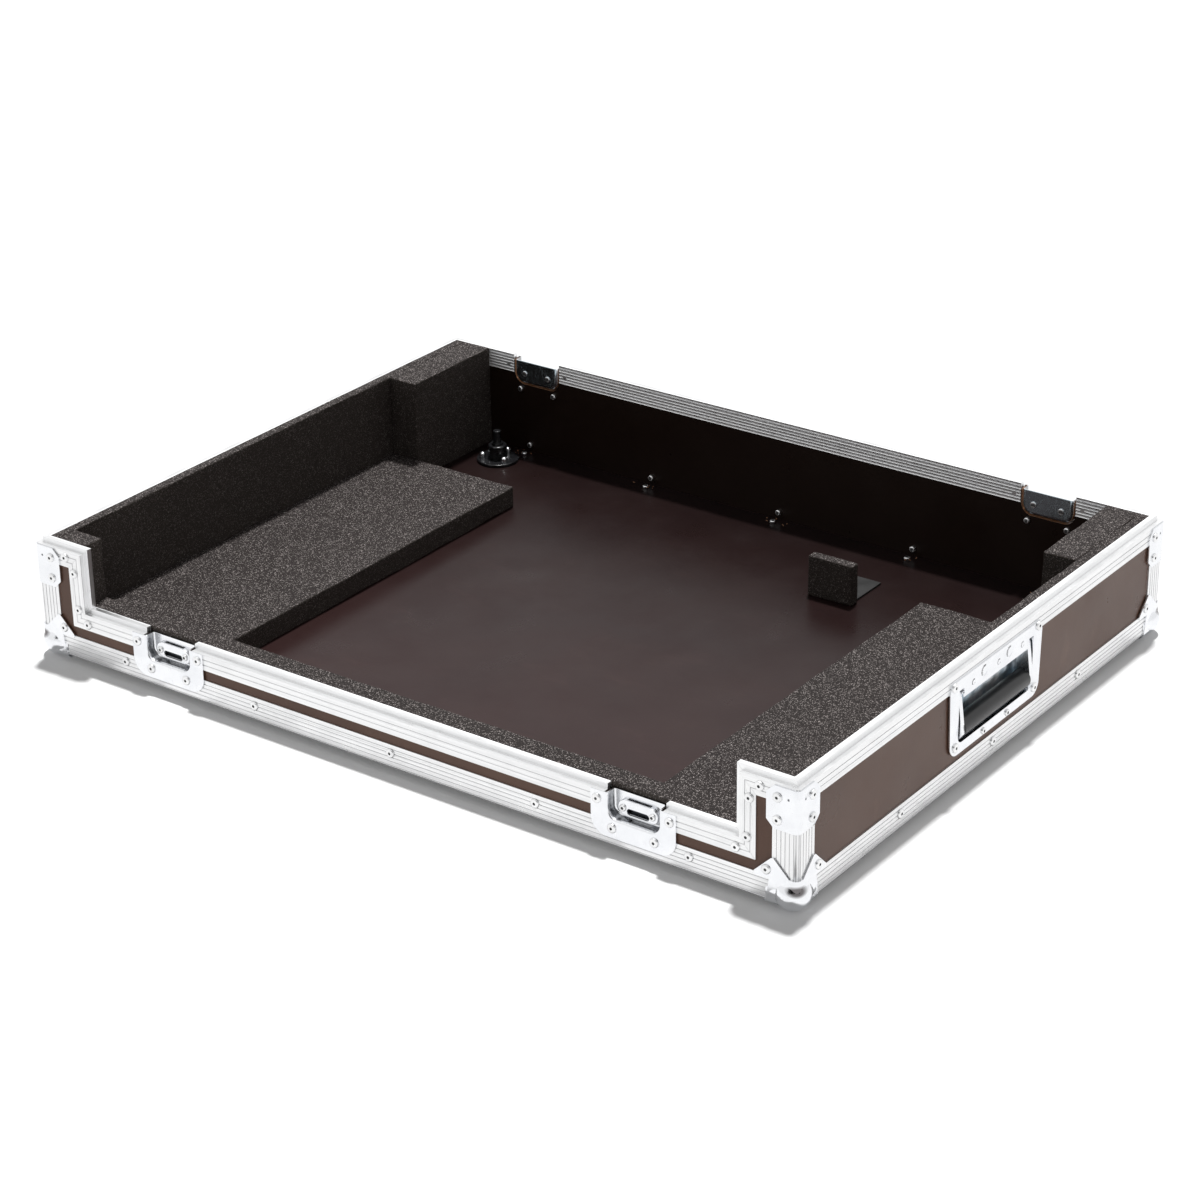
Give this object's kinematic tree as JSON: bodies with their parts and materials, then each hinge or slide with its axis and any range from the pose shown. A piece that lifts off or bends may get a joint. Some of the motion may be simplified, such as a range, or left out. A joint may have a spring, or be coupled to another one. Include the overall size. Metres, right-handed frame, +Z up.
{
  "type": "flight case base tray",
  "caption": "Shallow plywood flight case base with a low front, ribbed aluminium edging, ball corners, latch recesses, recessed sprung handles and cut foam lining.",
  "frame": {"origin": "on the ground, below the middle of the case", "axes": "+X to the right along the low front, +Y from front to back, +Z up"},
  "size_m": [0.762, 0.573, 0.1083],
  "materials": {
    "film_faced_plywood": "dark brown phenolic film, slightly shiny",
    "ribbed_aluminium": "satin, finely ribbed",
    "zinc_plated_steel": "bright zinc",
    "plated_steel": "bright zinc",
    "spring_steel": "plain wire",
    "grip_plastic": "black, slightly shiny",
    "rivet_aluminium": "satin",
    "fitting_plastic": "black",
    "plated_nuts": "bright",
    "black_painted_steel": "satin black",
    "polyethylene_foam": "fine closed cells, matte"
  },
  "bodies": {
    "tray": {"ball_corner_front_left": "zinc_plated_steel", "ball_corner_front_right": "zinc_plated_steel", "ball_corner_rear_left": "zinc_plated_steel", "ball_corner_rear_right": "zinc_plated_steel", "bottom_angle_front": "ribbed_aluminium", "bottom_angle_left": "ribbed_aluminium", "bottom_angle_rear": "ribbed_aluminium", "bottom_angle_right": "ribbed_aluminium", "corner_braces": "zinc_plated_steel", "corner_post_front_left": "ribbed_aluminium", "corner_post_front_right": "ribbed_aluminium", "corner_post_rear_left": "ribbed_aluminium", "corner_post_rear_right": "ribbed_aluminium", "corner_rivets": "rivet_aluminium", "edge_rivets": "rivet_aluminium", "floor_fitting_flange": "fitting_plastic", "floor_fitting_neck": "fitting_plastic", "floor_fitting_nuts": "plated_nuts", "floor_pad_left": "polyethylene_foam", "floor_pad_right": "polyethylene_foam", "floor_panel": "film_faced_plywood", "floor_rivets": "rivet_aluminium", "front_block_left": "polyethylene_foam", "front_block_right": "polyethylene_foam", "front_strip": "polyethylene_foam", "front_wall_panel": "film_faced_plywood", "handle_dish_left": "zinc_plated_steel", "handle_dish_right": "zinc_plated_steel", "handle_pin_left": "plated_steel", "handle_pin_right": "plated_steel", "handle_rivets": "rivet_aluminium", "handle_springs_left": "spring_steel", "handle_springs_right": "spring_steel", "latch_dish_front_left": "zinc_plated_steel", "latch_dish_front_right": "zinc_plated_steel", "latch_dish_rear_left": "zinc_plated_steel", "latch_dish_rear_right": "zinc_plated_steel", "latch_rivets": "rivet_aluminium", "latch_strikers": "plated_steel", "rear_block_left": "polyethylene_foam", "rear_block_right": "polyethylene_foam", "rear_wall_panel": "film_faced_plywood", "rim_front": "ribbed_aluminium", "rim_horn_top_left": "ribbed_aluminium", "rim_horn_top_right": "ribbed_aluminium", "rim_horn_upright_left": "ribbed_aluminium", "rim_horn_upright_right": "ribbed_aluminium", "rim_left": "ribbed_aluminium", "rim_rear": "ribbed_aluminium", "rim_right": "ribbed_aluminium", "side_liner_left": "polyethylene_foam", "side_liner_right": "polyethylene_foam", "stop_block": "polyethylene_foam", "stop_bracket": "black_painted_steel", "wall_panel_left": "film_faced_plywood", "wall_panel_right": "film_faced_plywood"},
    "left_handle": {"handle_bail_left": "plated_steel", "handle_grip_left": "grip_plastic"},
    "right_handle": {"handle_bail_right": "plated_steel", "handle_grip_right": "grip_plastic"}
  },
  "joints": [
    {"name": "right_handle_lift", "type": "hinge", "parent": "tray", "child": "right_handle", "pos_m": [0.37, 0, 0.0812], "axis": [0, -1, 0], "range_deg": [0, 80], "stiffness_Nm_per_rad": 0.15},
    {"name": "left_handle_lift", "type": "hinge", "parent": "tray", "child": "left_handle", "pos_m": [-0.37, 0, 0.0812], "axis": [0, 1, 0], "range_deg": [0, 80], "stiffness_Nm_per_rad": 0.15}
  ]
}
